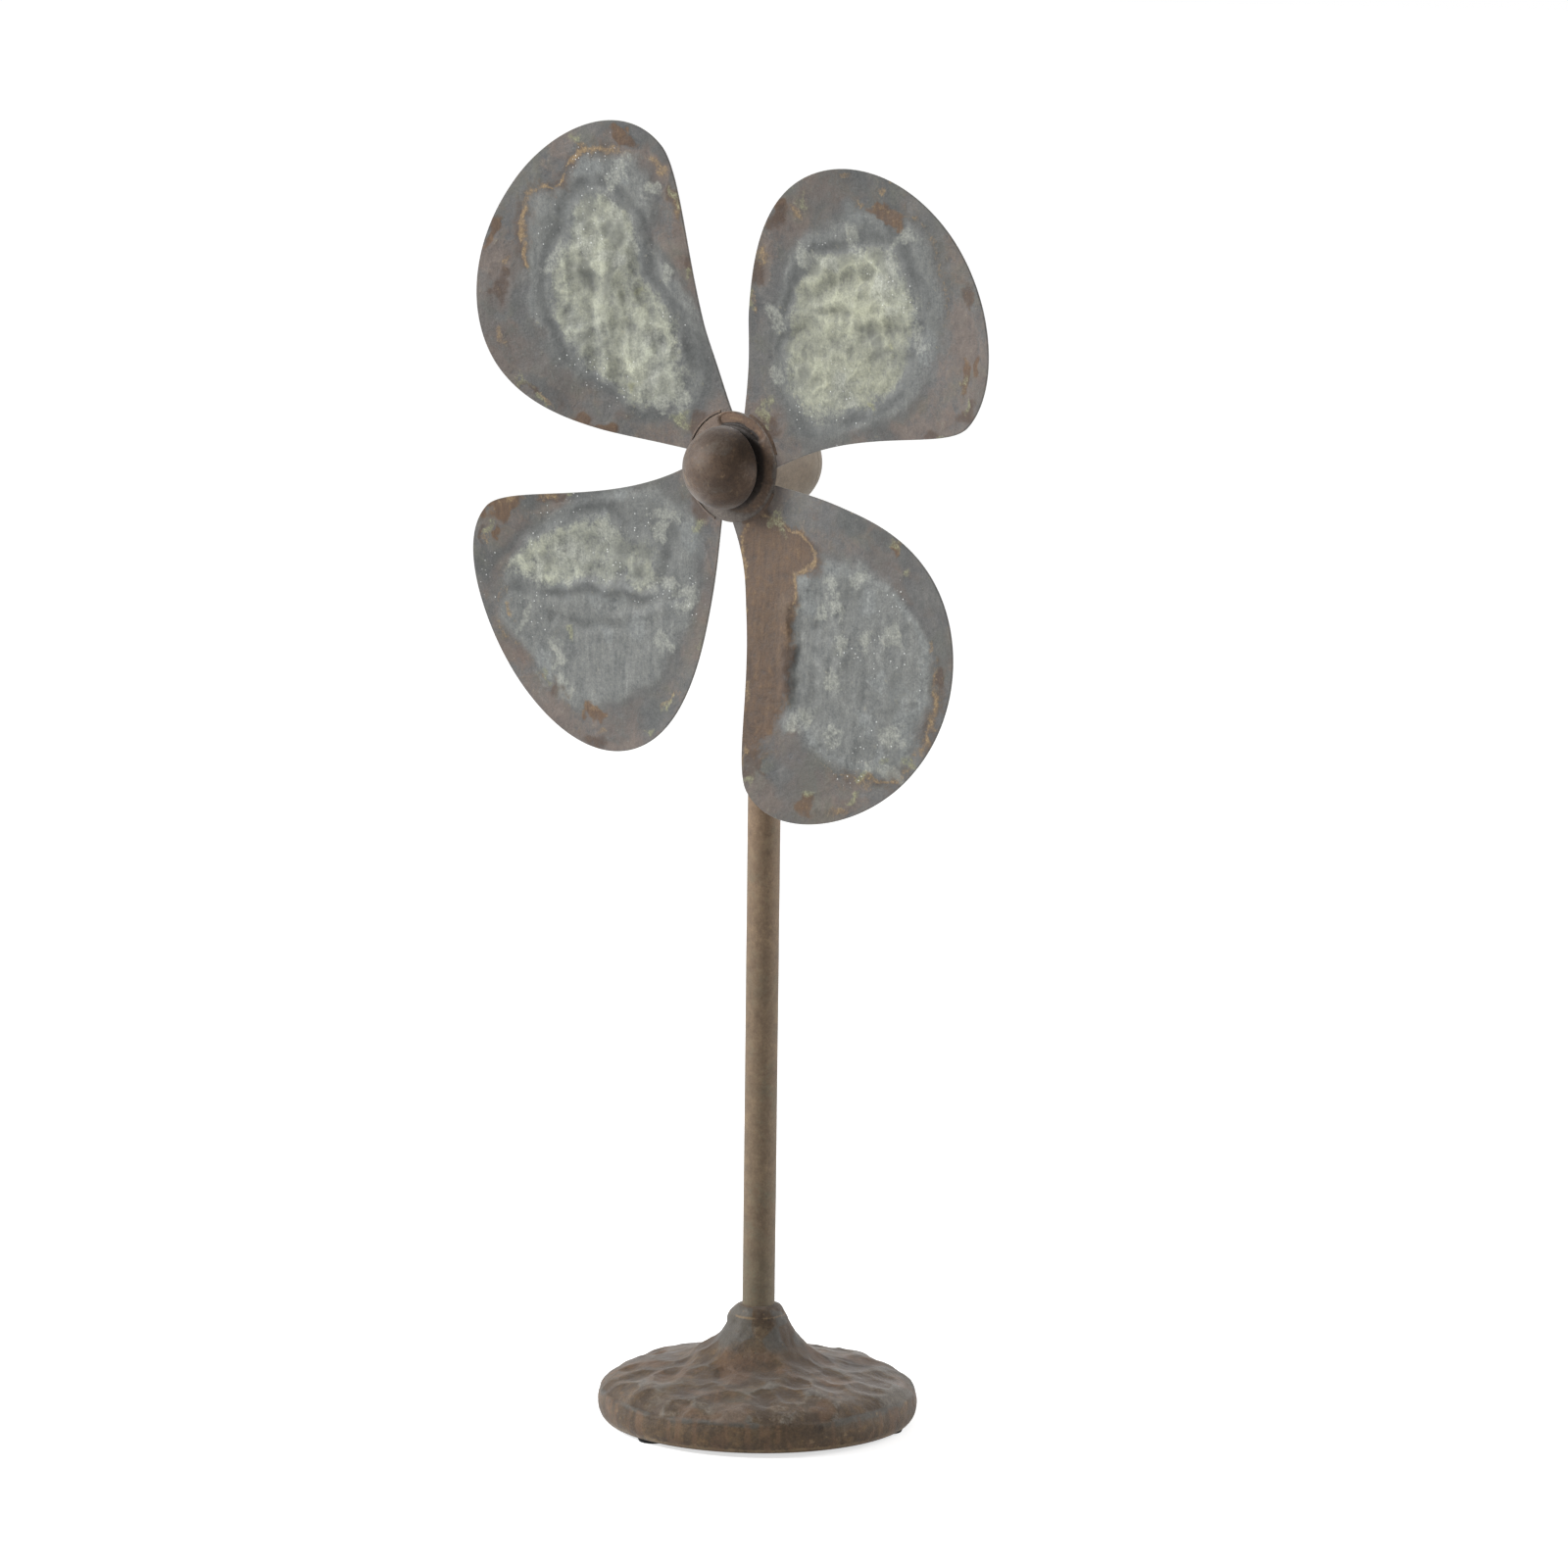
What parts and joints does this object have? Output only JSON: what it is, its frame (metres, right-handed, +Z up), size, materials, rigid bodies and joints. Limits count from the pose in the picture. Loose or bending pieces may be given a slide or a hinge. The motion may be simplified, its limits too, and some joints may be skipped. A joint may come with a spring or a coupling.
{
  "type": "garden windmill",
  "caption": "Garden windmill ornament: cupped sheet-metal rotor with domed nose, spinning in a rounded bearing head on a plain post and round weighted base.",
  "frame": {"origin": "post axis at floor level, the plane of the undersides of the rubber feet", "axes": "+Z up along the post; the rotor axle is horizontal and its nose points towards -Y; +X is to the right seen from the front"},
  "size_m": [0.4084, 0.1966, 0.7962],
  "materials": {
    "rusted_casting": "brown rusted, rough",
    "rusted_post": "brown rusted tube, matt",
    "rusted_head": "brown rusted, matt",
    "weathered_sheet": "weathered galvanised sheet with rust patches",
    "rusted_hub": "brown rusted, matt",
    "fastener_steel": "dull zinc plated",
    "black_rubber": "matt",
    "bronze_bush": "plain sintered bronze"
  },
  "bodies": {
    "stand": {"base_casting": "rusted_casting", "rubber_feet": "black_rubber", "base_bolt": "fastener_steel", "base_lock_washer": "fastener_steel", "base_flat_washer": "fastener_steel", "post_plug": "fastener_steel", "post_tube": "rusted_post", "post_set_screw": "fastener_steel", "head_housing": "rusted_head", "front_bush": "bronze_bush", "rear_bush": "bronze_bush", "rear_cap": "rusted_head"},
    "rotor": {"axle": "fastener_steel", "rear_thrust_washer": "fastener_steel", "rear_nut": "fastener_steel", "hub_plate": "rusted_hub", "blade_welds": "rusted_hub", "blade_top_left": "weathered_sheet", "blade_top_right": "weathered_sheet", "blade_bottom_left": "weathered_sheet", "blade_bottom_right": "weathered_sheet", "front_washer": "rusted_hub", "front_nut": "rusted_hub", "nose_dome": "rusted_hub"}
  },
  "joints": [
    {"name": "rotor_spin", "type": "hinge", "parent": "stand", "child": "rotor", "pos_m": [0, 0, 0.592], "axis": [0, -1, 0], "continuous": true}
  ]
}
